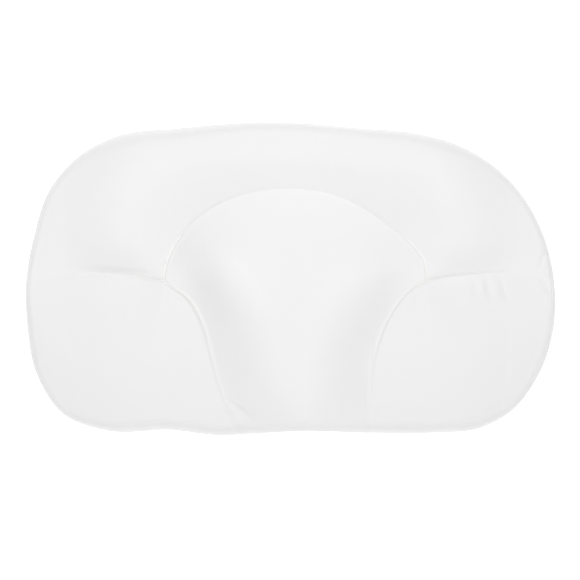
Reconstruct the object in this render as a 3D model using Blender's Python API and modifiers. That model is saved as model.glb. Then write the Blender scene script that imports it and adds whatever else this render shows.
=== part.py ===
"""Contour pillow with a head hollow, lying on its back.

Metres, +Z up. The origin is on the surface that it rests on, under the middle of its outline.
+X runs along its length, +Y points to the bolster at the back, and -Y to the neck edge.

The pillow is one filled solid. Its top is a coarse cage of three by two blocks of quads, whose lines
follow the sewn seams, so that each seam is a channel and each block is a puffed chamber:

    bolster end  | bolster middle | bolster end
    left lobe    | head panel     | right lobe
"""

from collections import namedtuple

import bmesh
import bpy
import numpy as np
from mathutils import Matrix, Vector

# The height of the widest line over the surface that the pillow rests on
RIM_HEIGHT = 0.046

# The top's rise over the widest line: a tight roll at the edge, then a long, gentle swell
Edge = namedtuple("Edge", "roll_rise roll_reach swell_rise swell_reach")
FRONT_EDGE = Edge(0.052, 0.016, 0.014, 0.120)
BACK_EDGE = Edge(0.060, 0.018, 0.018, 0.055)
SIDE_EDGE = Edge(0.042, 0.010, 0.034, 0.200)
SWELL_POWER = 1.6

# Where the front's profile turns into the back's along Y, and both into the sides' along X
FRONT_TO_BACK_Y = -0.010
FRONT_TO_BACK = 0.060
SIDE_FROM_X = 0.190
SIDE_BLEND = 0.110

# How much lower the bolster is at its middle, and how far in from the edge the seams pull less
MIDDLE_X = 0.005
BACK_DIP = 0.015
BACK_DIP_HALF = 0.220
EDGE_FADE = 0.016

# How far the cage's rim stands outside the outline, which smoothing draws in again
RIM_ALLOWANCE = 0.0045

# The soft outline, seen from above, from the left seam's end round the front edge
Place = namedtuple("Place", "name x y")
OUTLINE = (
    Place("left seam", -0.3485, -0.0106),
    Place("", -0.3465, -0.0610),
    Place("", -0.3350, -0.1230),
    Place("front left corner", -0.2980, -0.1790),
    Place("", -0.2400, -0.2005),
    Place("", -0.1560, -0.1995),
    Place("", -0.0940, -0.2065),
    Place("front left seam", -0.0530, -0.2046),
    Place("", 0.0200, -0.2010),
    Place("front right seam", 0.1016, -0.2033),
    Place("", 0.1900, -0.2030),
    Place("", 0.2510, -0.1967),
    Place("front right corner", 0.2910, -0.1750),
    Place("", 0.3310, -0.1200),
    Place("", 0.3480, -0.0620),
    Place("right seam", 0.3485, -0.0026),
    Place("", 0.3340, 0.0590),
    Place("back right corner", 0.3060, 0.1110),
    Place("", 0.2640, 0.1530),
    Place("", 0.2140, 0.1800),
    Place("back right line", 0.1716, 0.1914),
    Place("", 0.0924, 0.1993),
    Place("", -0.0260, 0.2072),
    Place("back left line", -0.1500, 0.1990),
    Place("", -0.2240, 0.1900),
    Place("", -0.2800, 0.1610),
    Place("back left corner", -0.3180, 0.1160),
    Place("", -0.3370, 0.0590),
)

# The sewn seams, from end to end
Stitch = namedtuple("Stitch", "x y")
ARC_SEAM = (
    Stitch(-0.1653, -0.0026),
    Stitch(-0.1587, 0.0221),
    Stitch(-0.1432, 0.0533),
    Stitch(-0.1171, 0.0820),
    Stitch(-0.0846, 0.1016),
    Stitch(-0.0065, 0.1184),
    Stitch(0.0521, 0.1119),
    Stitch(0.0911, 0.0951),
    Stitch(0.1327, 0.0664),
    Stitch(0.1587, 0.0443),
    Stitch(0.1744, 0.0221),
    Stitch(0.1783, -0.0026),
)
LEFT_SIDE_SEAM = (
    Stitch(-0.0530, -0.2046),
    Stitch(-0.0794, -0.1705),
    Stitch(-0.0937, -0.1341),
    Stitch(-0.1028, -0.0989),
    Stitch(-0.1119, -0.0638),
    Stitch(-0.1302, -0.0286),
    Stitch(-0.1653, -0.0026),
)
RIGHT_SIDE_SEAM = (
    Stitch(0.1016, -0.2033),
    Stitch(0.1054, -0.1471),
    Stitch(0.1081, -0.1119),
    Stitch(0.1171, -0.0768),
    Stitch(0.1354, -0.0403),
    Stitch(0.1562, -0.0156),
    Stitch(0.1783, -0.0026),
)
LEFT_LEVEL_SEAM = (
    Stitch(-0.3485, -0.0106),
    Stitch(-0.3059, 0.0026),
    Stitch(-0.2733, 0.0072),
    Stitch(-0.2213, 0.0039),
    Stitch(-0.1653, -0.0026),
)
RIGHT_LEVEL_SEAM = (
    Stitch(0.1783, -0.0026),
    Stitch(0.2082, 0.0026),
    Stitch(0.2473, 0.0065),
    Stitch(0.2928, 0.0078),
    Stitch(0.3485, -0.0026),
)

# The depth of each seam's channel under the crown, where the seam starts, half way and where it ends
Depths = namedtuple("Depths", "start middle end")
LEFT_JOINT = 0.008
RIGHT_JOINT = 0.017
ARC_DEPTHS = Depths(LEFT_JOINT, 0.038, RIGHT_JOINT)
LEFT_SIDE_DEPTHS = Depths(0.0, 0.004, LEFT_JOINT)
RIGHT_SIDE_DEPTHS = Depths(0.0, 0.006, RIGHT_JOINT)
LEFT_LEVEL_DEPTHS = Depths(0.0, 0.020, LEFT_JOINT)
RIGHT_LEVEL_DEPTHS = Depths(RIGHT_JOINT, 0.023, 0.0)

# Lines of the cage through the bolster, which carry no seam
LEFT_UPPER_LINE = (
    Stitch(-0.1653, -0.0026),
    Stitch(-0.1873, 0.0592),
    Stitch(-0.1706, 0.1380),
    Stitch(-0.1500, 0.1990),
)
RIGHT_UPPER_LINE = (
    Stitch(0.1783, -0.0026),
    Stitch(0.2031, 0.0552),
    Stitch(0.1913, 0.1311),
    Stitch(0.1716, 0.1914),
)

# The head panel's sag under the crown: beside the arched seam, where it is deepest, and at the neck edge
SAG_BACK = 0.035
SAG_BACK_Y = 0.110
SAG_DEEPEST = 0.045
SAG_DEEPEST_Y = -0.040
SAG_NECK = 0.037
SAG_NECK_Y = -0.190

# Deeper pockets of the head panel, beside the two ends of the arched seam
Pocket = namedtuple("Pocket", "x y radius depth")
POCKETS = (
    Pocket(-0.095, -0.018, 0.105, 0.020),
    Pocket(0.125, -0.015, 0.105, 0.008),
)

# How far each channel reaches into the chamber beside it
ARC_REACH_BOLSTER = 0.150
ARC_REACH_HEAD = 0.100
ARC_WALL_HEAD = 0.050
SIDE_REACH_HEAD = 0.090
SIDE_LEAN_HEAD = 0.80
SIDE_REACH_LOBE = 0.030
LEVEL_REACH_LOBE = 0.220
LEVEL_REACH_BOLSTER = 0.140

# Rings of the underside: the step in from the ring before, and the height
Ring = namedtuple("Ring", "step height")
UNDERSIDE = (
    Ring(0.008, 0.0230),
    Ring(0.018, 0.0080),
    Ring(0.026, 0.0000),
    Ring(0.014, 0.0000),
)
SPINE_HALF = 0.150

# The cage's quads in each column and row of blocks, and how much they crowd towards the seams
COLUMNS = (9, 14, 9)
ROWS = (12, 8)
CROWDING = 0.35
SEAM_CREASE = 0.75
SUBDIVISION = 1
GRID_HALF = 0.5

# Points along each span of a smooth line
STEPS = 24


def clear_scene():
    """Removes whatever the scene holds."""
    for thing in list(bpy.data.objects):
        bpy.data.objects.remove(thing, do_unlink=True)


def smooth_line(rows, closed=False):
    """Points along a smooth curve through the rows, STEPS of them for each span."""
    points = np.array(rows, dtype=float)
    if closed:
        points = np.vstack((points[-1:], points, points[:2]))
    else:
        points = np.vstack((2 * points[0] - points[1], points, 2 * points[-1] - points[-2]))
    spans = np.linalg.norm(np.diff(points[:, :2], axis=0), axis=1)
    line = []
    for i in range(1, len(points) - 2):
        start, end = points[i], points[i + 1]
        before, here, after = spans[i - 1], spans[i], spans[i + 1]
        leave = ((start - points[i - 1]) * here / before + (end - start) * before / here) / (before + here)
        arrive = ((end - start) * after / here + (points[i + 2] - end) * here / after) / (here + after)
        for step in range(STEPS):
            t = step / STEPS
            line.append(
                (2 * t**3 - 3 * t**2 + 1) * start
                + (t**3 - 2 * t**2 + t) * here * leave
                + (3 * t**2 - 2 * t**3) * end
                + (t**3 - t**2) * here * arrive
            )
    line.append(points[-2])
    return np.array(line)


def with_depths(line, depths):
    """The line with a third column, the channel's depth: a parabola through its start, middle and end."""
    lengths = np.concatenate(([0.0], np.cumsum(np.linalg.norm(np.diff(line, axis=0), axis=1))))
    t = lengths / lengths[-1]
    bulge = depths.middle - (depths.start + depths.end) / 2
    return np.column_stack((line, depths.start + (depths.end - depths.start) * t + 4 * bulge * t * (1 - t)))


def at_fraction(line, fraction):
    """The x and y at a fraction of a line's length."""
    lengths = np.concatenate(([0.0], np.cumsum(np.linalg.norm(np.diff(line[:, :2], axis=0), axis=1))))
    wanted = fraction * lengths[-1]
    return np.array((np.interp(wanted, lengths, line[:, 0]), np.interp(wanted, lengths, line[:, 1])))


def nearest(line, spot):
    """The distance from a spot to a line, and the channel's depth there."""
    distances = np.hypot(line[:, 0] - spot[0], line[:, 1] - spot[1])
    closest = int(np.argmin(distances))
    return distances[closest], line[closest, -1]


def valley(distance, reach):
    """1 on a seam and 0 past its reach, steep at the seam, as the side of a puffed chamber."""
    return max(0.0, 1.0 - distance / reach) ** 2


def slope(distance, reach, lean=1.0):
    """1 on a seam and 0 past its reach, level at both ends, steepest nearer the seam for a lean under 1."""
    t = min(distance / reach, 1.0) ** lean
    return 1.0 - t * t * (3.0 - 2.0 * t)


OUTLINE_LINE = smooth_line([(place.x, place.y) for place in OUTLINE], closed=True)
ARC = with_depths(smooth_line(ARC_SEAM), ARC_DEPTHS)
LEFT_SIDE = with_depths(smooth_line(LEFT_SIDE_SEAM), LEFT_SIDE_DEPTHS)
RIGHT_SIDE = with_depths(smooth_line(RIGHT_SIDE_SEAM), RIGHT_SIDE_DEPTHS)
LEFT_LEVEL = with_depths(smooth_line(LEFT_LEVEL_SEAM), LEFT_LEVEL_DEPTHS)
RIGHT_LEVEL = with_depths(smooth_line(RIGHT_LEVEL_SEAM), RIGHT_LEVEL_DEPTHS)


def outline_between(first, last):
    """The stretch of the outline from one named place to another, anticlockwise."""
    names = [place.name for place in OUTLINE]
    start, end = names.index(first) * STEPS, names.index(last) * STEPS
    if end <= start:
        return np.vstack((OUTLINE_LINE[start:-1], OUTLINE_LINE[: end + 1]))
    return OUTLINE_LINE[start : end + 1]


def block_edges():
    """The front, back, left and right edge of each block, by its column and row."""
    left_upper = smooth_line(LEFT_UPPER_LINE)
    right_upper = smooth_line(RIGHT_UPPER_LINE)
    return {
        (0, 0): (
            outline_between("front left corner", "front left seam"),
            LEFT_LEVEL,
            outline_between("left seam", "front left corner")[::-1],
            LEFT_SIDE,
        ),
        (1, 0): (outline_between("front left seam", "front right seam"), ARC, LEFT_SIDE, RIGHT_SIDE),
        (2, 0): (
            outline_between("front right seam", "front right corner"),
            RIGHT_LEVEL,
            RIGHT_SIDE,
            outline_between("front right corner", "right seam"),
        ),
        (0, 1): (
            LEFT_LEVEL,
            outline_between("back left line", "back left corner")[::-1],
            outline_between("back left corner", "left seam")[::-1],
            left_upper,
        ),
        (1, 1): (ARC, outline_between("back right line", "back left line")[::-1], left_upper, right_upper),
        (2, 1): (
            RIGHT_LEVEL,
            outline_between("back right corner", "back right line")[::-1],
            right_upper,
            outline_between("right seam", "back right corner"),
        ),
    }


def spot_in_block(edges, s, t):
    """The x and y at fractions s and t of a block, blended from its four edges."""
    front, back, left, right = edges
    corners = (
        (1 - s) * (1 - t) * front[0, :2]
        + s * (1 - t) * front[-1, :2]
        + (1 - s) * t * back[0, :2]
        + s * t * back[-1, :2]
    )
    across = (1 - t) * at_fraction(front, s) + t * at_fraction(back, s)
    along = (1 - s) * at_fraction(left, t) + s * at_fraction(right, t)
    return across + along - corners


def split(index, counts):
    """The block that a grid line falls in, and its crowded fraction there."""
    block = 0
    while block < len(counts) - 1 and index > counts[block]:
        index -= counts[block]
        block += 1
    fraction = index / counts[block]
    return block, fraction - CROWDING * np.sin(2 * np.pi * fraction) / (2 * np.pi)


def bolster_depth(spot):
    """How far the bolster's seams pull its skin under the crown."""
    arc_distance, arc_depth = nearest(ARC, spot)
    depth = arc_depth * valley(arc_distance, ARC_REACH_BOLSTER)
    for level in (LEFT_LEVEL, RIGHT_LEVEL):
        distance, level_depth = nearest(level, spot)
        depth = max(depth, level_depth * valley(distance, LEVEL_REACH_BOLSTER))
    return depth


def lobe_depth(spot, side, level):
    """How far a lobe's two seams pull its skin under the crown."""
    side_distance, side_depth = nearest(side, spot)
    level_distance, level_depth = nearest(level, spot)
    return max(
        side_depth * valley(side_distance, SIDE_REACH_LOBE),
        level_depth * valley(level_distance, LEVEL_REACH_LOBE),
    )


def head_depth(spot):
    """How far the head panel sags under the crown, between its walls and the arched seam."""
    to_arc = 1.0 - slope(max(spot[1] - SAG_DEEPEST_Y, 0.0), SAG_BACK_Y - SAG_DEEPEST_Y)
    to_neck = 1.0 - slope(max(SAG_DEEPEST_Y - spot[1], 0.0), SAG_DEEPEST_Y - SAG_NECK_Y)
    sag = SAG_DEEPEST - (SAG_DEEPEST - SAG_BACK) * to_arc - (SAG_DEEPEST - SAG_NECK) * to_neck
    side_distance, side_depth = min(nearest(LEFT_SIDE, spot), nearest(RIGHT_SIDE, spot))
    arc_distance, arc_depth = nearest(ARC, spot)
    for pocket in POCKETS:
        sag += pocket.depth * slope(np.hypot(spot[0] - pocket.x, spot[1] - pocket.y), pocket.radius)
    wall = slope(side_distance, SIDE_REACH_HEAD, SIDE_LEAN_HEAD)
    back = slope(arc_distance, ARC_WALL_HEAD, SIDE_LEAN_HEAD)
    if arc_depth > sag:
        back = valley(arc_distance, ARC_REACH_HEAD)
    return sag + (side_depth - sag) * wall + (arc_depth - sag) * back * (1.0 - wall)


def chamber_depth(spot, column, row):
    """How far a spot lies under the crown, by the block that it is in."""
    if row == 1:
        return bolster_depth(spot)
    if column == 0:
        return lobe_depth(spot, LEFT_SIDE, LEFT_LEVEL)
    if column == 2:
        return lobe_depth(spot, RIGHT_SIDE, RIGHT_LEVEL)
    return head_depth(spot)


def edge_rise(inward, edge):
    """How far the top stands over the widest line, by the distance in from one kind of edge."""
    roll = 1.0 - min(inward / edge.roll_reach, 1.0)
    swell = 1.0 - min(inward / edge.swell_reach, 1.0)
    return edge.roll_rise * (1.0 - roll**2) ** 0.5 + edge.swell_rise * (1.0 - swell**SWELL_POWER)


def top_height(spot, column, row):
    """The height of the pillow's top at a spot in one of its blocks."""
    inward = nearest(OUTLINE_LINE, spot)[0]
    back = 1.0 - slope(max(spot[1] - FRONT_TO_BACK_Y, 0.0), FRONT_TO_BACK)
    side = 1.0 - slope(max(abs(spot[0]) - SIDE_FROM_X, 0.0), SIDE_BLEND)
    dip = BACK_DIP * slope(abs(spot[0] - MIDDLE_X), BACK_DIP_HALF) * min(inward / BACK_EDGE.roll_reach, 1.0)
    middle = edge_rise(inward, FRONT_EDGE) * (1.0 - back) + (edge_rise(inward, BACK_EDGE) - dip) * back
    crown = RIM_HEIGHT + middle * (1.0 - side) + edge_rise(inward, SIDE_EDGE) * side
    fade = (1.0 - (1.0 - min(inward / EDGE_FADE, 1.0)) ** 2) ** 0.5
    return crown - chamber_depth(spot, column, row) * fade


def outward(spot):
    """The level direction from the pillow's spine to a spot of its rim."""
    spine = Vector((min(max(spot[0], -SPINE_HALF), SPINE_HALF), 0.0))
    return (Vector(spot[:2]) - spine).normalized()


def add_top(cage):
    """Lays a grid of quads over the outline and lifts it to the pillow's top."""
    columns, rows = sum(COLUMNS), sum(ROWS)
    bmesh.ops.create_grid(cage, x_segments=columns, y_segments=rows, size=GRID_HALF)
    edges = block_edges()
    places = {}
    for vert in cage.verts:
        i = round((vert.co.x + GRID_HALF) * columns)
        j = round((vert.co.y + GRID_HALF) * rows)
        column, s = split(i, COLUMNS)
        row, t = split(j, ROWS)
        spot = spot_in_block(edges[column, row], s, t)
        if i in (0, columns) or j in (0, rows):
            vert.co = (*(Vector(spot) + outward(spot) * RIM_ALLOWANCE), RIM_HEIGHT)
        else:
            vert.co = (*spot, top_height(spot, column, row))
        places[vert] = (i, j)
    return places


def crease_seams(cage, places):
    """Marks the cage's edges along the seams, so that subdivision keeps them as channels."""
    crease = cage.edges.layers.float.new("crease_edge")
    first, second, level = COLUMNS[0], COLUMNS[0] + COLUMNS[1], ROWS[0]
    for edge in cage.edges:
        (i, j), (k, m) = (places[vert] for vert in edge.verts)
        across = j == m == level
        along = i == k and i in (first, second) and max(j, m) <= level
        if across or along:
            edge[crease] = SEAM_CREASE


def add_underside(cage):
    """Carries the rim down and in to the flat face that the pillow rests on, and closes it."""
    rim = [edge for edge in cage.edges if edge.is_boundary]
    for ring in UNDERSIDE:
        made = bmesh.ops.extrude_edge_only(cage, edges=rim)["geom"]
        for vert in [item for item in made if isinstance(item, bmesh.types.BMVert)]:
            inner = vert.co.xy - outward(vert.co) * ring.step
            vert.co = (*inner, ring.height)
        rim = [item for item in made if isinstance(item, bmesh.types.BMEdge) and item.is_boundary]
    bmesh.ops.contextual_create(cage, geom=rim)
    bmesh.ops.recalc_face_normals(cage, faces=cage.faces)


def white_knit():
    """The smooth white knitted cover."""
    material = bpy.data.materials.new("white_knit")
    material.use_nodes = True
    shader = material.node_tree.nodes["Principled BSDF"]
    shader.inputs["Base Color"].default_value = (0.86, 0.86, 0.87, 1.0)
    shader.inputs["Roughness"].default_value = 0.9
    shader.inputs["Metallic"].default_value = 0.0
    return material


def add_pillow(collection):
    """Makes the pillow, a creased cage under one level of subdivision."""
    cage = bmesh.new()
    places = add_top(cage)
    crease_seams(cage, places)
    add_underside(cage)
    mesh = bpy.data.meshes.new("pillow")
    cage.to_mesh(mesh)
    cage.free()
    mesh.materials.append(white_knit())
    mesh.shade_smooth()
    pillow = bpy.data.objects.new("pillow", mesh)
    collection.objects.link(pillow)
    smoothing = pillow.modifiers.new("smoothing", "SUBSURF")
    smoothing.levels = SUBDIVISION
    smoothing.render_levels = SUBDIVISION
    return pillow


def centre_on_origin(pillow):
    """Moves the cage so that the smoothed pillow's outline is centred over the origin."""
    smoothed = pillow.evaluated_get(bpy.context.evaluated_depsgraph_get())
    middle = sum((Vector(corner) for corner in smoothed.bound_box), Vector()) / len(smoothed.bound_box)
    pillow.data.transform(Matrix.Translation((-middle.x, -middle.y, 0.0)))


def main():
    """Builds the pillow in a collection of its own."""
    clear_scene()
    collection = bpy.data.collections.new("contour_pillow")
    bpy.context.scene.collection.children.link(collection)
    pillow = add_pillow(collection)
    centre_on_origin(pillow)


main()
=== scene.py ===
"""Looks of the contour pillow: its sewn, filled form, its white knitted cover, the light and the camera.

Metres, in the frame of the solid: +X along the pillow, +Y to the bolster at its back, +Z up.
The pillow's surface is one fine grid over the outline. Its blocks meet along the sewn seams, and each spot of
the grid gets its height from the crown, the seams' pull, and the folds and lumps, so all are in the mesh.
"""

import math
from collections import namedtuple

import bpy
import numpy as np
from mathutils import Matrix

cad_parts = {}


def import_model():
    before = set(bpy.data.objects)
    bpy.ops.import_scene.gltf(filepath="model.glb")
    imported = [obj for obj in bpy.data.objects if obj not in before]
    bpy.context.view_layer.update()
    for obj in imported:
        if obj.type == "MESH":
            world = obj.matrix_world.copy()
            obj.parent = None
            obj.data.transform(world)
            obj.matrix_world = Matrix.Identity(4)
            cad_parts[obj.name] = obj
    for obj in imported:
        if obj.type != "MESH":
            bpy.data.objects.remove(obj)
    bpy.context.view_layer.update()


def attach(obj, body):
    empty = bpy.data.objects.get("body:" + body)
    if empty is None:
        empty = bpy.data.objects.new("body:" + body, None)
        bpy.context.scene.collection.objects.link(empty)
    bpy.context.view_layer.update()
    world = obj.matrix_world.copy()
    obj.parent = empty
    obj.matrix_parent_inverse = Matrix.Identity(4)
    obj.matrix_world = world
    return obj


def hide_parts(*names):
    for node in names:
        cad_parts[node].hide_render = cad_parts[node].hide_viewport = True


# The height of the pillow's widest line over the surface that it rests on
RIM_HEIGHT = 0.046

# Where the front's profile turns into the back's along Y, and both into the sides' along X
FRONT_TO_BACK_Y = -0.010
FRONT_TO_BACK = 0.060
SIDE_FROM_X = 0.190
SIDE_BLEND = 0.110

# The top's rise over the widest line: a tight roll at the edge, then a long, gentle swell
Edge = namedtuple("Edge", "roll_rise roll_reach swell_rise swell_reach")
FRONT_EDGE = Edge(0.052, 0.016, 0.014, 0.120)
BACK_EDGE = Edge(0.060, 0.018, 0.018, 0.055)
SIDE_EDGE = Edge(0.042, 0.010, 0.034, 0.200)
SWELL_POWER = 1.6

# How much lower the bolster is at its middle
MIDDLE_X = 0.005
BACK_DIP = 0.015
BACK_DIP_HALF = 0.220

# How far in from the edge the seams, folds and lumps get their full depth
EDGE_FADE = 0.016

# The soft outline, seen from above, from the left seam's end round the front edge
Place = namedtuple("Place", "name x y")
OUTLINE = (
    Place("left seam", -0.3485, -0.0106),
    Place("", -0.3465, -0.0610),
    Place("", -0.3350, -0.1230),
    Place("front left corner", -0.2980, -0.1790),
    Place("", -0.2400, -0.2005),
    Place("", -0.1560, -0.1995),
    Place("", -0.0940, -0.2065),
    Place("front left seam", -0.0530, -0.2046),
    Place("", 0.0200, -0.2010),
    Place("front right seam", 0.1016, -0.2033),
    Place("", 0.1900, -0.2030),
    Place("", 0.2510, -0.1967),
    Place("front right corner", 0.2910, -0.1750),
    Place("", 0.3310, -0.1200),
    Place("", 0.3480, -0.0620),
    Place("right seam", 0.3485, -0.0026),
    Place("", 0.3340, 0.0590),
    Place("back right corner", 0.3060, 0.1110),
    Place("", 0.2640, 0.1530),
    Place("", 0.2140, 0.1800),
    Place("back right line", 0.1716, 0.1914),
    Place("", 0.0924, 0.1993),
    Place("", -0.0260, 0.2072),
    Place("back left line", -0.1500, 0.1990),
    Place("", -0.2240, 0.1900),
    Place("", -0.2800, 0.1610),
    Place("back left corner", -0.3180, 0.1160),
    Place("", -0.3370, 0.0590),
)

# The sewn seams, from end to end
Stitch = namedtuple("Stitch", "x y")
ARC_SEAM = (
    Stitch(-0.1653, -0.0026),
    Stitch(-0.1587, 0.0221),
    Stitch(-0.1432, 0.0533),
    Stitch(-0.1171, 0.0820),
    Stitch(-0.0846, 0.1016),
    Stitch(-0.0065, 0.1184),
    Stitch(0.0521, 0.1119),
    Stitch(0.0911, 0.0951),
    Stitch(0.1327, 0.0664),
    Stitch(0.1587, 0.0443),
    Stitch(0.1744, 0.0221),
    Stitch(0.1783, -0.0026),
)
LEFT_SIDE_SEAM = (
    Stitch(-0.0530, -0.2046),
    Stitch(-0.0794, -0.1705),
    Stitch(-0.0937, -0.1341),
    Stitch(-0.1028, -0.0989),
    Stitch(-0.1119, -0.0638),
    Stitch(-0.1302, -0.0286),
    Stitch(-0.1653, -0.0026),
)
RIGHT_SIDE_SEAM = (
    Stitch(0.1016, -0.2033),
    Stitch(0.1054, -0.1471),
    Stitch(0.1081, -0.1119),
    Stitch(0.1171, -0.0768),
    Stitch(0.1354, -0.0403),
    Stitch(0.1562, -0.0156),
    Stitch(0.1783, -0.0026),
)
LEFT_LEVEL_SEAM = (
    Stitch(-0.3485, -0.0106),
    Stitch(-0.3059, 0.0026),
    Stitch(-0.2733, 0.0072),
    Stitch(-0.2213, 0.0039),
    Stitch(-0.1653, -0.0026),
)
RIGHT_LEVEL_SEAM = (
    Stitch(0.1783, -0.0026),
    Stitch(0.2082, 0.0026),
    Stitch(0.2473, 0.0065),
    Stitch(0.2928, 0.0078),
    Stitch(0.3485, -0.0026),
)

# The depth of each seam's channel under the crown, where the seam starts, half way and where it ends
Depths = namedtuple("Depths", "start middle end")
LEFT_JOINT = 0.008
RIGHT_JOINT = 0.017
ARC_DEPTHS = Depths(LEFT_JOINT, 0.038, RIGHT_JOINT)
LEFT_SIDE_DEPTHS = Depths(0.0, 0.004, LEFT_JOINT)
RIGHT_SIDE_DEPTHS = Depths(0.0, 0.006, RIGHT_JOINT)
LEFT_LEVEL_DEPTHS = Depths(0.0, 0.020, LEFT_JOINT)
RIGHT_LEVEL_DEPTHS = Depths(RIGHT_JOINT, 0.023, 0.0)

# The depth of the narrow groove that the thread draws along each seam, at the same places, and its half width
ARC_GROOVE = Depths(0.0012, 0.0001, 0.0008)
LEFT_SIDE_GROOVE = Depths(0.0003, 0.0008, 0.0015)
RIGHT_SIDE_GROOVE = Depths(0.0003, 0.0005, 0.0007)
LEFT_LEVEL_GROOVE = Depths(0.0, 0.0003, 0.0012)
RIGHT_LEVEL_GROOVE = Depths(0.0010, 0.0003, 0.0)
GROOVE_HALF = 0.0019

# The cover's swelling beside a groove, as a share of its depth, and the small gathers along the thread
LIP_SHARE = 0.30
LIP_AT = 0.0050
LIP_HALF = 0.0022
GATHER_STEP = 0.0075
GATHER_DEPTH = 0.00012
GATHER_REACH = 0.0070

# Lines of the grid through the bolster, which carry no seam
LEFT_UPPER_LINE = (
    Stitch(-0.1653, -0.0026),
    Stitch(-0.1873, 0.0592),
    Stitch(-0.1706, 0.1380),
    Stitch(-0.1500, 0.1990),
)
RIGHT_UPPER_LINE = (
    Stitch(0.1783, -0.0026),
    Stitch(0.2031, 0.0552),
    Stitch(0.1913, 0.1311),
    Stitch(0.1716, 0.1914),
)

# The head panel's sag under the crown: beside the arched seam, where it is deepest, and at the neck edge
SAG_BACK = 0.035
SAG_BACK_Y = 0.110
SAG_DEEPEST = 0.045
SAG_DEEPEST_Y = -0.040
SAG_NECK = 0.037
SAG_NECK_Y = -0.190

# Deeper pockets of the head panel, beside the two ends of the arched seam
Pocket = namedtuple("Pocket", "x y radius depth")
POCKETS = (
    Pocket(-0.100, 0.002, 0.095, 0.013),
    Pocket(0.120, -0.010, 0.100, 0.006),
)

# Folds of the cover, each from one end to the other, fading towards its ends. A raised fold has a minus depth
FOLD_TAPER = 0.7
Fold = namedtuple("Fold", "x0 y0 x1 y1 half_width depth")
FOLDS = (
    # pleats that run down from the right level seam
    Fold(0.2400, 0.0020, 0.2450, -0.0260, 0.0030, 0.0016),
    Fold(0.2555, 0.0050, 0.2625, -0.0300, 0.0030, 0.0022),
    Fold(0.2480, -0.0010, 0.2540, -0.0240, 0.0032, -0.0007),
    Fold(0.2760, 0.0010, 0.2850, -0.0320, 0.0036, 0.0017),
    Fold(0.2680, 0.0000, 0.2740, -0.0280, 0.0034, -0.0006),
    Fold(0.2690, 0.0130, 0.2790, 0.0110, 0.0030, -0.0008),
    # creases at the right edge, above the level seam's end
    Fold(0.3340, 0.0390, 0.3300, 0.0080, 0.0026, 0.0034),
    Fold(0.3300, 0.0110, 0.3410, -0.0230, 0.0026, 0.0030),
    Fold(0.3365, 0.0240, 0.3375, 0.0000, 0.0030, -0.0020),
    Fold(0.3215, 0.0640, 0.3270, 0.0440, 0.0026, -0.0006),
    # the fan of folds at the front of the left side seam
    Fold(-0.0850, -0.1540, -0.0460, -0.1870, 0.0040, -0.0019),
    Fold(-0.0885, -0.1620, -0.0690, -0.1860, 0.0030, -0.0014),
    Fold(-0.0770, -0.1500, -0.0590, -0.1660, 0.0028, -0.0010),
    Fold(-0.0830, -0.1470, -0.0520, -0.1730, 0.0028, 0.0005),
    Fold(-0.0840, -0.1620, -0.0600, -0.1860, 0.0026, 0.0006),
    Fold(-0.0960, -0.1750, -0.0860, -0.1880, 0.0028, 0.0008),
    # the gather at the front of the right side seam, and the cover's double line beside that seam
    Fold(0.1000, -0.1460, 0.1040, -0.1790, 0.0048, -0.0013),
    Fold(0.1120, -0.1640, 0.1150, -0.1900, 0.0036, 0.0013),
    Fold(0.1075, -0.0780, 0.1030, -0.1420, 0.0022, 0.0006),
    Fold(0.1110, -0.1780, 0.1100, -0.1920, 0.0022, -0.0006),
    # small creases along the front edge
    Fold(-0.1700, -0.1880, -0.1390, -0.1950, 0.0024, 0.0008),
    Fold(0.2150, -0.1890, 0.2600, -0.1880, 0.0024, 0.0007),
    Fold(0.2650, -0.1800, 0.2800, -0.1690, 0.0026, 0.0009),
    # the tuck where the left level seam meets the bolster
    Fold(-0.2800, 0.0105, -0.1750, 0.0040, 0.0060, 0.0030),
)

# Lumps of the filling. A dimple has a minus rise
Lump = namedtuple("Lump", "x y radius rise")
LUMPS = (
    Lump(-0.1700, -0.0950, 0.0650, 0.0050),
    Lump(-0.2150, 0.1350, 0.0520, 0.0042),
    Lump(-0.1450, 0.1600, 0.0450, 0.0016),
    Lump(0.1850, 0.1500, 0.0500, 0.0032),
    Lump(0.1750, -0.0950, 0.0650, 0.0035),
    Lump(-0.2500, -0.1250, 0.0450, 0.0016),
    Lump(0.2500, -0.1300, 0.0480, 0.0016),
    Lump(-0.1640, 0.0215, 0.0050, 0.0010),
    Lump(-0.1130, 0.1610, 0.0060, -0.0005),
    Lump(-0.0520, 0.1620, 0.0060, -0.0004),
    Lump(0.0325, 0.1420, 0.0060, -0.0005),
    Lump(0.0755, 0.1355, 0.0070, -0.0005),
    Lump(-0.1550, 0.0600, 0.0450, -0.0025),
    Lump(0.1700, 0.0600, 0.0450, -0.0025),
)

# How far each channel reaches into the chamber beside it
# The head panel's wall is steeper near the seam for a lean under 1
ARC_REACH_BOLSTER = 0.150
ARC_REACH_HEAD = 0.100
ARC_WALL_HEAD = 0.080
SIDE_REACH_HEAD = 0.090
SIDE_LEAN_HEAD = 0.74
SIDE_REACH_LOBE = 0.030
LEVEL_REACH_LOBE = 0.220
LEVEL_REACH_BOLSTER = 0.140

# The ridge between two seams' pulls: how round it is, and how far from the seams it starts
RIDGE_SOFTNESS = 0.008
RIDGE_START = 0.020

# The top's outer wall: the grid within RIM_ZONE of the outline spreads over it
RIM_ZONE = 0.030
WALL_SAMPLES = 800
WALL_SAMPLE_POWER = 5
SMALLEST = 1e-9

# The seam that joins the top to the underside, just under the widest line
JOIN_BELOW = 0.0045
JOIN_DEPTH = 0.0018
JOIN_HALF = 0.0014

# The rounded side and the flat underside: rings that step in towards a spine along the pillow's middle
UNDERSIDE_REACH = 0.052
UNDERSIDE_RINGS = 12
FLAT_RINGS = 3
FLAT_STEP = 0.012
SPINE_HALF = 0.150

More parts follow.
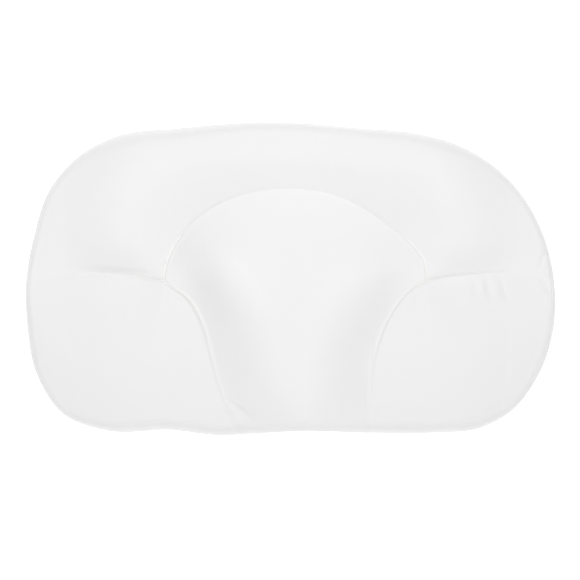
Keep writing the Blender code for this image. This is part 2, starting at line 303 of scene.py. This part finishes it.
# The grid's quads in each column and row of blocks, and how much they crowd towards the seams
COLUMNS = (98, 138, 98)
ROWS = (116, 84)
CROWDING = 0.72

# Points on each span of a smooth line, and how many spots are measured against a line at once
STEPS = 24
CHUNK = 3000

# A line without depths has this many columns
NO_DEPTHS = 2


def smooth_line(rows, closed=False):
    """Points along a smooth curve through the rows, STEPS of them for each span."""
    points = np.array(rows, dtype=float)
    if closed:
        points = np.vstack((points[-1:], points, points[:2]))
    else:
        points = np.vstack((2 * points[0] - points[1], points, 2 * points[-1] - points[-2]))
    spans = np.linalg.norm(np.diff(points[:, :2], axis=0), axis=1)
    line = []
    for i in range(1, len(points) - 2):
        start, end = points[i], points[i + 1]
        before, here, after = spans[i - 1], spans[i], spans[i + 1]
        leave = ((start - points[i - 1]) * here / before + (end - start) * before / here) / (before + here)
        arrive = ((end - start) * after / here + (points[i + 2] - end) * here / after) / (here + after)
        for step in range(STEPS):
            t = step / STEPS
            line.append(
                (2 * t**3 - 3 * t**2 + 1) * start
                + (t**3 - 2 * t**2 + t) * here * leave
                + (3 * t**2 - 2 * t**3) * end
                + (t**3 - t**2) * here * arrive
            )
    line.append(points[-2])
    return np.array(line)


def parabola(t, depths):
    """The depths at fractions t of a seam, through its start, middle and end."""
    bulge = depths.middle - (depths.start + depths.end) / 2
    return depths.start + (depths.end - depths.start) * t + 4 * bulge * t * (1 - t)


def sewn_line(stitches, depths, groove):
    """A seam's smooth line, with the depths of its channel and of its groove as third and fourth columns."""
    line = smooth_line(stitches)
    lengths = np.concatenate(([0.0], np.cumsum(np.linalg.norm(np.diff(line, axis=0), axis=1))))
    t = lengths / lengths[-1]
    return np.column_stack((line, parabola(t, depths), parabola(t, groove)))


OUTLINE_LINE = smooth_line([(place.x, place.y) for place in OUTLINE], closed=True)
ARC = sewn_line(ARC_SEAM, ARC_DEPTHS, ARC_GROOVE)
LEFT_SIDE = sewn_line(LEFT_SIDE_SEAM, LEFT_SIDE_DEPTHS, LEFT_SIDE_GROOVE)
RIGHT_SIDE = sewn_line(RIGHT_SIDE_SEAM, RIGHT_SIDE_DEPTHS, RIGHT_SIDE_GROOVE)
LEFT_LEVEL = sewn_line(LEFT_LEVEL_SEAM, LEFT_LEVEL_DEPTHS, LEFT_LEVEL_GROOVE)
RIGHT_LEVEL = sewn_line(RIGHT_LEVEL_SEAM, RIGHT_LEVEL_DEPTHS, RIGHT_LEVEL_GROOVE)

Near = namedtuple("Near", "distance along x y depth groove")


def nearest(line, spots):
    """For each spot, the nearest place on a line: how far off and how far along it is, and its depths."""
    if line.shape[1] == NO_DEPTHS:
        line = np.column_stack((line, np.zeros((len(line), NO_DEPTHS))))
    start, step = line[:-1, :2], np.diff(line[:, :2], axis=0)
    squares = (step**2).sum(axis=1)
    reached = np.concatenate(([0.0], np.cumsum(np.sqrt(squares))))
    found = []
    for chunk in np.array_split(spots, len(spots) // CHUNK + 1):
        offset = chunk[:, None, :] - start
        t = np.clip((offset * step).sum(axis=2) / squares, 0.0, 1.0)
        gap = offset - t[..., None] * step
        distance = np.hypot(gap[..., 0], gap[..., 1])
        best = distance.argmin(axis=1)
        rows = np.arange(len(chunk))
        t = t[rows, best]
        on_line = line[best] + t[:, None] * (line[best + 1] - line[best])
        along = reached[best] + t * np.sqrt(squares[best])
        found.append(np.column_stack((distance[rows, best], along, on_line)))
    return Near(*np.vstack(found).T)


def valley(distance, reach):
    """1 on a seam and 0 past its reach, steep at the seam, as the side of a puffed chamber."""
    return np.maximum(0.0, 1.0 - distance / reach) ** 2


def slope(distance, reach, lean=1.0):
    """1 on a seam and 0 past its reach, level at both ends, and steepest near the seam for a lean under 1."""
    t = np.minimum(distance / reach, 1.0) ** lean
    return 1.0 - t * t * (3.0 - 2.0 * t)


def outline_between(first, last):
    """The stretch of the outline from one named place to another, anticlockwise."""
    names = [place.name for place in OUTLINE]
    start, end = names.index(first) * STEPS, names.index(last) * STEPS
    if end <= start:
        return np.vstack((OUTLINE_LINE[start:-1], OUTLINE_LINE[: end + 1]))
    return OUTLINE_LINE[start : end + 1]


def block_edges():
    """The front, back, left and right edge of each block, by its column and row."""
    left_upper = smooth_line(LEFT_UPPER_LINE)
    right_upper = smooth_line(RIGHT_UPPER_LINE)
    return {
        (0, 0): (
            outline_between("front left corner", "front left seam"),
            LEFT_LEVEL,
            outline_between("left seam", "front left corner")[::-1],
            LEFT_SIDE,
        ),
        (1, 0): (outline_between("front left seam", "front right seam"), ARC, LEFT_SIDE, RIGHT_SIDE),
        (2, 0): (
            outline_between("front right seam", "front right corner"),
            RIGHT_LEVEL,
            RIGHT_SIDE,
            outline_between("front right corner", "right seam"),
        ),
        (0, 1): (
            LEFT_LEVEL,
            outline_between("back left line", "back left corner")[::-1],
            outline_between("back left corner", "left seam")[::-1],
            left_upper,
        ),
        (1, 1): (ARC, outline_between("back right line", "back left line")[::-1], left_upper, right_upper),
        (2, 1): (
            RIGHT_LEVEL,
            outline_between("back right corner", "back right line")[::-1],
            right_upper,
            outline_between("right seam", "back right corner"),
        ),
    }


def at_fraction(line, fractions):
    """The positions at fractions of a line's length."""
    lengths = np.concatenate(([0.0], np.cumsum(np.linalg.norm(np.diff(line[:, :2], axis=0), axis=1))))
    wanted = fractions * lengths[-1]
    return np.column_stack((np.interp(wanted, lengths, line[:, 0]), np.interp(wanted, lengths, line[:, 1])))


def crowded(count):
    """Fractions from 0 to 1 that crowd towards both ends."""
    fraction = np.arange(count + 1) / count
    return fraction - CROWDING * np.sin(2 * np.pi * fraction) / (2 * np.pi)


def block_spots(edges, columns, rows):
    """The positions of a block's grid, blended from its four edges, as an array of rows by columns."""
    front, back, left, right = edges
    s, t = crowded(columns), crowded(rows)
    front_points, back_points = at_fraction(front, s), at_fraction(back, s)
    left_points, right_points = at_fraction(left, t), at_fraction(right, t)
    s, t = s[None, :, None], t[:, None, None]
    across = (1 - t) * front_points[None] + t * back_points[None]
    along = (1 - s) * left_points[:, None] + s * right_points[:, None]
    corners = (
        (1 - s) * (1 - t) * front_points[0]
        + s * (1 - t) * front_points[-1]
        + (1 - s) * t * back_points[0]
        + s * t * back_points[-1]
    )
    return across + along - corners


def edge_rise(inward, edge):
    """How far the top stands over the widest line, by the distance in from one kind of edge."""
    roll = 1.0 - np.minimum(inward / edge.roll_reach, 1.0)
    swell = 1.0 - np.minimum(inward / edge.swell_reach, 1.0)
    return edge.roll_rise * np.sqrt(1.0 - roll**2) + edge.swell_rise * (1.0 - swell**SWELL_POWER)


def crown_height(spots, inward):
    """The height of the top with no seam: the edges' profiles, blended by place."""
    back = 1.0 - slope(np.maximum(spots[:, 1] - FRONT_TO_BACK_Y, 0.0), FRONT_TO_BACK)
    side = 1.0 - slope(np.maximum(abs(spots[:, 0]) - SIDE_FROM_X, 0.0), SIDE_BLEND)
    off_middle = abs(spots[:, 0] - MIDDLE_X)
    dip = BACK_DIP * slope(off_middle, BACK_DIP_HALF) * np.minimum(inward / BACK_EDGE.roll_reach, 1.0)
    middle = edge_rise(inward, FRONT_EDGE) * (1.0 - back) + (edge_rise(inward, BACK_EDGE) - dip) * back
    return RIM_HEIGHT + middle * (1.0 - side) + edge_rise(inward, SIDE_EDGE) * side


def spread_over_wall(spots, rim):
    """Moves the spots beside the outline out, so that they are even over the wall's height too."""
    inward = RIM_ZONE * np.linspace(0.0, 1.0, WALL_SAMPLES) ** WALL_SAMPLE_POWER
    height = edge_rise(inward, FRONT_EDGE)
    walked = np.concatenate(([0.0], np.cumsum(np.hypot(np.diff(inward), np.diff(height)))))
    share = np.minimum(rim.distance / RIM_ZONE, 1.0)
    wanted = np.where(share < 1.0, np.interp(share * walked[-1], walked, inward), rim.distance)
    keep = (wanted / np.maximum(rim.distance, SMALLEST))[:, None]
    on_rim = np.column_stack((rim.x, rim.y))
    return on_rim + (spots - on_rim) * keep, wanted


def deeper_of(first, second, seam_distance):
    """The deeper of two seams' pulls, with a rounded ridge between them away from the seams."""
    deeper = np.maximum(first, second)
    near = np.exp(-((seam_distance / RIDGE_START) ** 2))
    softness = np.minimum(np.minimum(first, second), RIDGE_SOFTNESS)
    rounded = 0.5 * (first + second + np.hypot(first - second, softness))
    return deeper + (rounded - deeper) * (1.0 - near)


def bolster_depth(spots):
    """How far the bolster's seams pull its skin under the crown."""
    arc = nearest(ARC, spots)
    depth = arc.depth * valley(arc.distance, ARC_REACH_BOLSTER)
    for line in (LEFT_LEVEL, RIGHT_LEVEL):
        level = nearest(line, spots)
        pull = level.depth * valley(level.distance, LEVEL_REACH_BOLSTER)
        depth = deeper_of(depth, pull, np.minimum(arc.distance, level.distance))
    return depth


def lobe_depth(spots, side_line, level_line):
    """How far a lobe's two seams pull its skin under the crown."""
    side, level = nearest(side_line, spots), nearest(level_line, spots)
    return deeper_of(
        side.depth * valley(side.distance, SIDE_REACH_LOBE),
        level.depth * valley(level.distance, LEVEL_REACH_LOBE),
        np.minimum(side.distance, level.distance),
    )


def head_depth(spots):
    """How far the head panel sags under the crown, between its walls and the arched seam."""
    x, y = spots.T
    to_arc = 1.0 - slope(np.maximum(y - SAG_DEEPEST_Y, 0.0), SAG_BACK_Y - SAG_DEEPEST_Y)
    to_neck = 1.0 - slope(np.maximum(SAG_DEEPEST_Y - y, 0.0), SAG_DEEPEST_Y - SAG_NECK_Y)
    sag = SAG_DEEPEST - (SAG_DEEPEST - SAG_BACK) * to_arc - (SAG_DEEPEST - SAG_NECK) * to_neck
    left, right, arc = nearest(LEFT_SIDE, spots), nearest(RIGHT_SIDE, spots), nearest(ARC, spots)
    side_distance = np.minimum(left.distance, right.distance)
    side_depth = np.where(left.distance < right.distance, left.depth, right.depth)
    for pocket in POCKETS:
        sag = sag + pocket.depth * slope(np.hypot(x - pocket.x, y - pocket.y), pocket.radius)
    wall = slope(side_distance, SIDE_REACH_HEAD, SIDE_LEAN_HEAD)
    risen = valley(arc.distance, ARC_REACH_HEAD)
    fallen = valley(arc.distance, ARC_WALL_HEAD)
    back = np.where(arc.depth > sag, risen, fallen)
    return sag + (side_depth - sag) * wall + (arc.depth - sag) * back * (1.0 - wall)


def chamber_depths(spots, column, row):
    """How far each spot lies under the crown, by the block that it is in."""
    depth = np.zeros(len(spots))
    bolster = row == 1
    depth[bolster] = bolster_depth(spots[bolster])
    left = (row == 0) & (column == 0)
    depth[left] = lobe_depth(spots[left], LEFT_SIDE, LEFT_LEVEL)
    right = (row == 0) & (column == 2)
    depth[right] = lobe_depth(spots[right], RIGHT_SIDE, RIGHT_LEVEL)
    head = (row == 0) & (column == 1)
    depth[head] = head_depth(spots[head])
    return depth


def seam_detail(spots):
    """How far the thread draws the cover in along the seams, and how near each spot is to one, up to 1, which
    sets the painted shade in the seams.
    """
    depth = np.zeros(len(spots))
    painted_seam_shade = np.zeros(len(spots))
    for line in (ARC, LEFT_SIDE, RIGHT_SIDE, LEFT_LEVEL, RIGHT_LEVEL):
        seam = nearest(line, spots)
        groove = np.exp(-((seam.distance / GROOVE_HALF) ** 2))
        lip = LIP_SHARE * np.exp(-(((seam.distance - LIP_AT) / LIP_HALF) ** 2))
        strength = seam.groove / LEFT_SIDE_GROOVE.end
        gather = np.cos(2 * np.pi * seam.along / GATHER_STEP) * np.exp(-seam.distance / GATHER_REACH)
        drawn = seam.groove * (groove - lip) + GATHER_DEPTH * strength * gather
        depth = np.where(abs(drawn) > abs(depth), drawn, depth)
        # The mask of the painted shade in the seams: full in a groove, weaker where the groove is shallow
        painted_seam_shade = np.maximum(painted_seam_shade, groove * np.minimum(2 * strength, 1.0))
    return depth, painted_seam_shade


def fold_detail(spots):
    """How far the folds draw the cover in, less how far the lumps push it out."""
    depth = np.zeros(len(spots))
    for fold in FOLDS:
        start = np.array((fold.x0, fold.y0))
        step = np.array((fold.x1, fold.y1)) - start
        t = np.clip(((spots - start) @ step) / (step @ step), 0.0, 1.0)
        distance = np.linalg.norm(spots - start - t[:, None] * step, axis=1)
        depth += fold.depth * np.sin(np.pi * t) ** FOLD_TAPER * np.exp(-((distance / fold.half_width) ** 2))
    for lump in LUMPS:
        distance = np.hypot(spots[:, 0] - lump.x, spots[:, 1] - lump.y)
        depth -= lump.rise * np.exp(-((distance / lump.radius) ** 2))
    return depth


def grid_spots():
    """The whole grid's positions, with the column and row of blocks that each is in."""
    edges = block_edges()
    rows = []
    for row, row_count in enumerate(ROWS):
        blocks = [block_spots(edges[column, row], count, row_count) for column, count in enumerate(COLUMNS)]
        joined = np.concatenate([blocks[0], blocks[1][:, 1:], blocks[2][:, 1:]], axis=1)
        rows.append(joined if row == 0 else joined[1:])
    spots = np.concatenate(rows, axis=0)
    i, j = np.meshgrid(np.arange(spots.shape[1]), np.arange(spots.shape[0]))
    column = np.where(i <= COLUMNS[0], 0, np.where(i <= COLUMNS[0] + COLUMNS[1], 1, 2))
    row = np.where(j <= ROWS[0], 0, 1)
    return spots, column, row


def rim_loop(wide, high):
    """The indices of the grid's outermost points, anticlockwise seen from above."""
    front = [(i, 0) for i in range(wide - 1)]
    right = [(wide - 1, j) for j in range(high - 1)]
    back = [(i, high - 1) for i in range(wide - 1, 0, -1)]
    left = [(0, j) for j in range(high - 1, 0, -1)]
    return [j * wide + i for i, j in front + right + back + left]


def inner_direction(points):
    """The level directions from spots of the rim in to the pillow's spine."""
    spine = np.column_stack((np.clip(points[:, 0], -SPINE_HALF, SPINE_HALF), np.zeros(len(points))))
    inner = spine - points[:, :2]
    return inner / np.linalg.norm(inner, axis=1)[:, None]


def round_in(level):
    """How far in from the widest line the rounded side is at a height under it."""
    return UNDERSIDE_REACH * (1.0 - math.sqrt(1.0 - (1.0 - level / RIM_HEIGHT) ** 2))


def underside_steps():
    """How far in and how high each ring of the side and underside is, with the seam under the widest line."""
    join_level = RIM_HEIGHT - JOIN_BELOW
    steps = []
    for above, drawn_in in ((JOIN_HALF, 0.0), (0.0, JOIN_DEPTH), (-JOIN_HALF, 0.0)):
        level = join_level + above
        steps.append((round_in(level) + drawn_in, level))
    for k in range(1, UNDERSIDE_RINGS + 1):
        turn = math.pi / 2 * k / UNDERSIDE_RINGS
        level = (join_level - 2.0 * JOIN_HALF) * (1.0 - math.sin(turn))
        steps.append((round_in(level), level))
    for k in range(1, FLAT_RINGS + 1):
        steps.append((UNDERSIDE_REACH + FLAT_STEP * k, 0.0))
    return steps


def make_pillow():
    """Builds the pillow's surface: the grid on top, the rounded side under it, and the flat underside."""
    spots, column, row = grid_spots()
    high, wide = spots.shape[:2]
    spots, column, row = spots.reshape(-1, 2), column.ravel(), row.ravel()
    rim = nearest(OUTLINE_LINE, spots)
    spots, inward = spread_over_wall(spots, rim)
    height = crown_height(spots, inward)
    fade = np.sqrt(1.0 - (1.0 - np.minimum(inward / EDGE_FADE, 1.0)) ** 2)
    drawn, painted_seam_shade = seam_detail(spots)
    height = height - (chamber_depths(spots, column, row) + drawn + fold_detail(spots)) * fade
    verts = [tuple(place) for place in np.column_stack((spots, height))]
    faces = []
    for j in range(high - 1):
        for i in range(wide - 1):
            corner = j * wide + i
            faces.append((corner, corner + 1, corner + wide + 1, corner + wide))
    loop = rim_loop(wide, high)
    rim_points = np.array([verts[index] for index in loop])
    inner = inner_direction(rim_points)
    for step, level in underside_steps():
        ring = rim_points[:, :2] + inner * step
        first = len(verts)
        verts.extend((x, y, level) for x, y in ring)
        below = list(range(first, first + len(loop)))
        for k in range(len(loop)):
            after = (k + 1) % len(loop)
            faces.append((loop[after], loop[k], below[k], below[after]))
        loop = below
    faces.append(tuple(reversed(loop)))
    mesh = bpy.data.meshes.new("pillow_cover")
    mesh.from_pydata(verts, [], faces)
    mesh.update()
    # The mask of the painted shade in the seams, kept on the mesh for the cover's material
    seam = mesh.attributes.new(SEAM_SHADE_ATTRIBUTE, "FLOAT", "POINT")
    seam.data.foreach_set("value", np.concatenate((painted_seam_shade * fade, np.zeros(len(verts) - len(painted_seam_shade)))))
    mesh.shade_smooth()
    pillow = bpy.data.objects.new("pillow_cover", mesh)
    bpy.context.scene.collection.objects.link(pillow)
    return pillow


# The knit's loops and fuzz: wales across, courses along, the lean of a loop's legs, and the relief of each
WALE = 0.0011
COURSE = 0.0009
LOOP_LEAN = 0.35
LOOP_SHARE = 0.5
KNIT_RELIEF = 0.00007
FUZZ_SCALE = 900.0
FUZZ_DETAIL = 2.0
FUZZ_RELIEF = 0.00005
SIDE_SHARPNESS = 4.0

# The white of the cover, how it varies over the pillow and on the loops, and the painted shade down in the
# seams, darker and warmer, as where light bounces in a fold
SEAM_SHADE_ATTRIBUTE = "seam"
CLOUD_SCALE = 9.0
CLOUD_DETAIL = 3.0
LOOP_WHITENING = 0.5
COVER_WHITE = (0.799, 0.796, 0.802, 1.0)
COVER_SHADE = (0.779, 0.776, 0.784, 1.0)
# Painted shade down in the seams: darker and warmer than the cover, as light bounced in a fold
SEAM_PAINTED_SHADE = (0.770, 0.762, 0.748, 1.0)

# The cover's gloss
ROUGHNESS_LOW = 0.84
ROUGHNESS_HIGH = 0.96
SPECULAR = 0.25
SHEEN = 0.12
SHEEN_ROUGHNESS = 0.45


def add_math(tree, operation, first, second=None):
    """A maths node's result, from sockets or numbers."""
    node = tree.nodes.new("ShaderNodeMath")
    node.operation = operation
    for socket, value in zip(node.inputs, (first, second)):
        if isinstance(value, bpy.types.NodeSocket):
            tree.links.new(value, socket)
        elif value is not None:
            socket.default_value = value
    return node.outputs[0]


def add_mix(tree, share, first, second):
    """A colour mix of two sockets or colours."""
    node = tree.nodes.new("ShaderNodeMix")
    node.data_type = "RGBA"
    tree.links.new(share, node.inputs[0])
    for socket, value in zip((node.inputs[6], node.inputs[7]), (first, second)):
        if isinstance(value, bpy.types.NodeSocket):
            tree.links.new(value, socket)
        else:
            socket.default_value = value
    return node.outputs[2]


def add_loops(tree, across, along):
    """The height of plain knit, from 0 to 1: columns of loops across, and their leaning rows along."""
    column = add_math(tree, "PINGPONG", across, WALE / 2)
    rib = add_math(tree, "SINE", add_math(tree, "MULTIPLY", column, math.pi / WALE))
    lean = add_math(tree, "MULTIPLY", column, LOOP_LEAN * 2)
    row = add_math(tree, "MULTIPLY", add_math(tree, "ADD", along, lean), 2 * math.pi / COURSE)
    loop = add_math(tree, "MULTIPLY", add_math(tree, "ADD", add_math(tree, "SINE", row), 1.0), LOOP_SHARE / 2)
    return add_math(tree, "MULTIPLY", rib, add_math(tree, "ADD", loop, 1.0 - LOOP_SHARE))


def knit_height(tree, place):
    """The knit's height over the whole cover: laid on the top, round the front and back, and on both ends."""
    split = tree.nodes.new("ShaderNodeSeparateXYZ")
    tree.links.new(place, split.inputs[0])
    x, y, z = split.outputs
    facing = tree.nodes.new("ShaderNodeSeparateXYZ")
    tree.links.new(tree.nodes.new("ShaderNodeNewGeometry").outputs["True Normal"], facing.inputs[0])
    weights = []
    for side in facing.outputs:
        weights.append(add_math(tree, "POWER", add_math(tree, "ABSOLUTE", side), SIDE_SHARPNESS))
    total = add_math(tree, "ADD", add_math(tree, "ADD", weights[0], weights[1]), weights[2])
    height = add_math(tree, "MULTIPLY", weights[0], add_loops(tree, y, z))
    height = add_math(tree, "ADD", height, add_math(tree, "MULTIPLY", weights[1], add_loops(tree, x, z)))
    height = add_math(tree, "ADD", height, add_math(tree, "MULTIPLY", weights[2], add_loops(tree, x, y)))
    return add_math(tree, "DIVIDE", height, total)


def add_noise(tree, place, scale, detail):
    """A noise texture's value."""
    noise = tree.nodes.new("ShaderNodeTexNoise")
    noise.inputs["Scale"].default_value = scale
    noise.inputs["Detail"].default_value = detail
    tree.links.new(place, noise.inputs["Vector"])
    return noise.outputs[0]


def add_bump(tree, height, relief, below=None):
    """A bump of a relief in metres, over another bump."""
    bump = tree.nodes.new("ShaderNodeBump")
    bump.inputs["Distance"].default_value = relief
    tree.links.new(height, bump.inputs["Height"])
    if below is not None:
        tree.links.new(below, bump.inputs["Normal"])
    return bump.outputs["Normal"]


def white_knit():
    """The smooth white knitted cover: fine loops with a soft fuzz, and painted shade down in the seams, a
    little warmer and darker.
    """
    material = bpy.data.materials.new("white_knit_cover")
    material.use_nodes = True
    tree = material.node_tree
    shader = tree.nodes["Principled BSDF"]
    place = tree.nodes.new("ShaderNodeTexCoord").outputs["Object"]
    knit = knit_height(tree, place)
    fuzz = add_noise(tree, place, FUZZ_SCALE, FUZZ_DETAIL)
    cloud = add_noise(tree, place, CLOUD_SCALE, CLOUD_DETAIL)
    # Reads the mask of the painted shade in the seams
    seam = tree.nodes.new("ShaderNodeAttribute")
    seam.attribute_name = SEAM_SHADE_ATTRIBUTE
    cover = add_mix(tree, cloud, COVER_SHADE, COVER_WHITE)
    cover = add_mix(tree, add_math(tree, "MULTIPLY", knit, LOOP_WHITENING), cover, COVER_WHITE)
    # Painted shade: a darker, warmer white mixed in along the seams
    cover = add_mix(tree, seam.outputs["Fac"], cover, SEAM_PAINTED_SHADE)
    tree.links.new(cover, shader.inputs["Base Color"])
    rough = tree.nodes.new("ShaderNodeMapRange")
    rough.inputs["To Min"].default_value = ROUGHNESS_LOW
    rough.inputs["To Max"].default_value = ROUGHNESS_HIGH
    tree.links.new(fuzz, rough.inputs["Value"])
    tree.links.new(rough.outputs[0], shader.inputs["Roughness"])
    shader.inputs["Specular IOR Level"].default_value = SPECULAR
    shader.inputs["Sheen Weight"].default_value = SHEEN
    shader.inputs["Sheen Roughness"].default_value = SHEEN_ROUGHNESS
    normal = add_bump(tree, fuzz, FUZZ_RELIEF)
    tree.links.new(add_bump(tree, knit, KNIT_RELIEF, normal), shader.inputs["Normal"])
    return material


# The floor: its size, its level just under the pillow, its white, and the glow that makes it pure white
FLOOR_SIZE = 60.0
FLOOR_LEVEL = -0.0005
FLOOR_WHITE = (0.95, 0.95, 0.95, 1.0)
FLOOR_GLOW = 0.80

# The light: an even dome, a wide sun that tips towards the neck edge, and a softbox over the bolster
PURE_WHITE = (1.0, 1.0, 1.0, 1.0)
DOME_STRENGTH = 0.287
SUN_STRENGTH = 1.29
SUN_WIDTH = 45.0
SUN_TILT = 19.0
Lamp = namedtuple("Lamp", "x y z size power")
SOFTBOX = Lamp(-0.02, 0.58, 2.00, 1.20, 20.4)

# The camera: the photo's scale at the widest line, its side and the pillow's middle row in pixels, the lens
METRES_PER_PIXEL = 0.00132
IMAGE_SIDE = 580
OBJECT_ROW = 279
LENS = 200
SENSOR = 36


def plain_floor():
    """The plain white sweep that the pillow lies on."""
    bpy.ops.mesh.primitive_plane_add(size=FLOOR_SIZE, location=(0.0, 0.0, FLOOR_LEVEL))
    floor = bpy.context.object
    floor.name = "floor"
    material = bpy.data.materials.new("floor_white")
    material.use_nodes = True
    shader = material.node_tree.nodes["Principled BSDF"]
    shader.inputs["Base Color"].default_value = FLOOR_WHITE
    shader.inputs["Roughness"].default_value = 1.0
    shader.inputs["Emission Color"].default_value = PURE_WHITE
    shader.inputs["Emission Strength"].default_value = FLOOR_GLOW
    floor.data.materials.append(material)


def add_light():
    """A soft, even dome, broad light from overhead, and a softbox over the bolster."""
    world = bpy.data.worlds.new("soft_dome")
    world.use_nodes = True
    world.node_tree.nodes["Background"].inputs["Color"].default_value = PURE_WHITE
    world.node_tree.nodes["Background"].inputs["Strength"].default_value = DOME_STRENGTH
    bpy.context.scene.world = world
    overhead = bpy.data.lights.new("overhead", "SUN")
    overhead.angle = math.radians(SUN_WIDTH)
    overhead.energy = SUN_STRENGTH
    sun = bpy.data.objects.new("overhead", overhead)
    sun.rotation_euler.x = math.radians(SUN_TILT)
    bpy.context.scene.collection.objects.link(sun)
    softbox = bpy.data.lights.new("softbox", "AREA")
    softbox.shape = "DISK"
    softbox.size = SOFTBOX.size
    softbox.energy = SOFTBOX.power
    light = bpy.data.objects.new("softbox", softbox)
    light.location = (SOFTBOX.x, SOFTBOX.y, SOFTBOX.z)
    light.rotation_euler = light.location.to_track_quat("Z", "Y").to_euler()
    bpy.context.scene.collection.objects.link(light)


def add_camera():
    """Looks straight down, as the photograph does."""
    data = bpy.data.cameras.new("camera")
    data.lens = LENS
    data.sensor_width = SENSOR
    data.shift_y = (OBJECT_ROW - IMAGE_SIDE / 2) / IMAGE_SIDE
    camera = bpy.data.objects.new("camera", data)
    camera.location = (0.0, 0.0, RIM_HEIGHT + IMAGE_SIDE * METRES_PER_PIXEL * LENS / SENSOR)
    bpy.context.scene.collection.objects.link(camera)
    bpy.context.scene.camera = camera


def main():
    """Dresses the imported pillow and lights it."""
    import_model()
    bpy.context.scene.view_settings.view_transform = "Standard"
    add_camera()
    pillow = make_pillow()
    pillow.data.materials.append(white_knit())
    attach(pillow, "root")
    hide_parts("pillow")
    plain_floor()
    add_light()


main()
